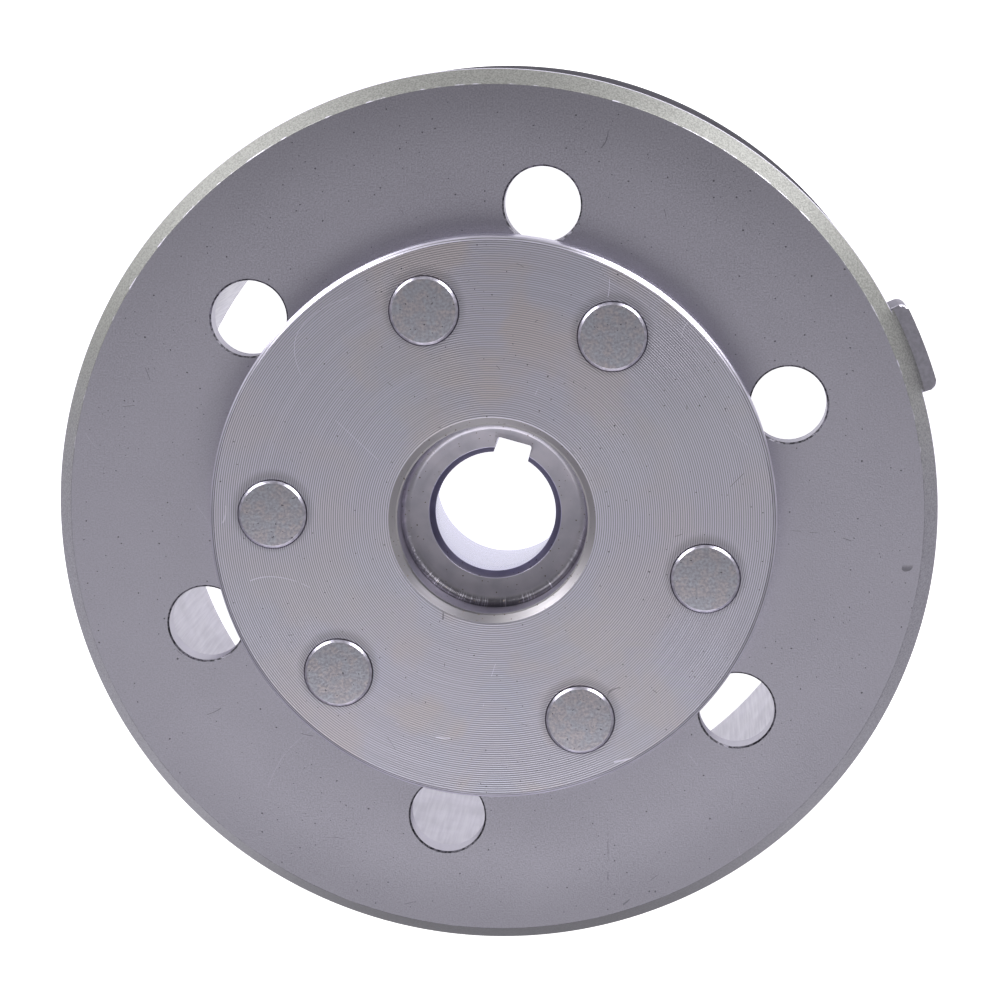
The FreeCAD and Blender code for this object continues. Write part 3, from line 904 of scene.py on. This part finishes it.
def build_floor():
    """A pale table under the open rim, lit softly from below in its middle."""
    mesh = bmesh.new()
    bmesh.ops.create_grid(mesh, x_segments=2, y_segments=2, size=FLOOR_HALF)
    floor = make("floor", mesh)
    floor.location.z = RIM_Z
    paint = Paint("pale_table", metallic=0.0)
    across = paint.add("ShaderNodeSeparateXYZ", paint.place)
    x = paint.math("POWER", paint.math("ABSOLUTE", across.outputs["X"]), GLOW_CORNER_POWER)
    y = paint.math("POWER", paint.math("ABSOLUTE", across.outputs["Y"]), GLOW_CORNER_POWER)
    reach = paint.math("POWER", paint.math("ADD", x, y), 1 / GLOW_CORNER_POWER)
    glow = paint.ramp(reach, GLOW_HALF, GLOW_HALF + GLOW_FADE, 1.0, 0.0)
    paint.feed(paint.shader.inputs["Emission Color"], (1.0, 1.0, 1.0, 1.0))
    paint.feed(paint.shader.inputs["Emission Strength"], glow)
    paint.raise_by(paint.noise(2 * MM, 1.0), 0.002 * MM)
    floor.data.materials.append(paint.finish((0.82, 0.82, 0.83, 1.0), 0.8))


def softbox(name, azimuth, elevation, distance, width, height, radiance):
    """A soft area light that looks at the origin."""
    data = bpy.data.lights.new(name, "AREA")
    data.shape = "RECTANGLE"
    data.size = width
    data.size_y = height
    data.energy = radiance * math.pi * width * height
    light = bpy.data.objects.new(name, data)
    bpy.context.scene.collection.objects.link(light)
    flat = on_circle(math.cos(math.radians(elevation)), math.radians(azimuth))
    way = Vector((flat.x, flat.y, math.sin(math.radians(elevation))))
    light.location = way * distance
    light.rotation_euler = way.to_track_quat("Z", "Y").to_euler()
    light.visible_camera = False


def build_light():
    """Soft studio light: a room darker overhead, two boxes in front, and two low boxes behind."""
    world = bpy.data.worlds.new("studio")
    bpy.context.scene.world = world
    world.use_nodes = True
    nodes = world.node_tree.nodes
    way = nodes.new("ShaderNodeTexCoord").outputs["Generated"]
    split = nodes.new("ShaderNodeSeparateXYZ")
    fade = nodes.new("ShaderNodeMapRange")
    for name, value in {"From Min": 0.55, "From Max": 1.0, "To Min": 0.40, "To Max": 0.19}.items():
        fade.inputs[name].default_value = value
    world.node_tree.links.new(way, split.inputs[0])
    world.node_tree.links.new(split.outputs["Z"], fade.inputs["Value"])
    world.node_tree.links.new(fade.outputs[0], nodes["Background"].inputs["Strength"])
    nodes["Background"].inputs["Color"].default_value = (1.0, 1.0, 1.0, 1.0)
    softbox("front_box", 265, 52, 0.9, 0.7, 0.5, 1.75)
    softbox("low_front_box", 270, 10, 0.8, 0.6, 0.24, 1.3)
    softbox("right_box", 52, 15, 0.5, 0.24, 0.26, 7.5)
    softbox("left_box", 133, 15, 0.5, 0.26, 0.26, 6.0)


def build_camera():
    """The camera, above the closed face and a little to its upper right."""
    data = bpy.data.cameras.new("camera")
    data.lens = CAMERA_LENS
    camera = bpy.data.objects.new("camera", data)
    bpy.context.scene.collection.objects.link(camera)
    back = (CAMERA_PLACE - CAMERA_TARGET).normalized()
    side = Vector((0, 1, 0)).cross(back).normalized()
    up = back.cross(side)
    turned = Matrix((side, up, back)).transposed().to_4x4() @ Matrix.Rotation(CAMERA_ROLL, 4, "Z")
    camera.matrix_world = Matrix.Translation(CAMERA_PLACE) @ turned
    bpy.context.scene.camera = camera


def corners(box):
    """A box as plain lists of numbers."""
    return [list(corner) for corner in box]


build_object()
build_floor()
build_light()
build_camera()
bpy.context.scene.view_settings.view_transform = "Standard"
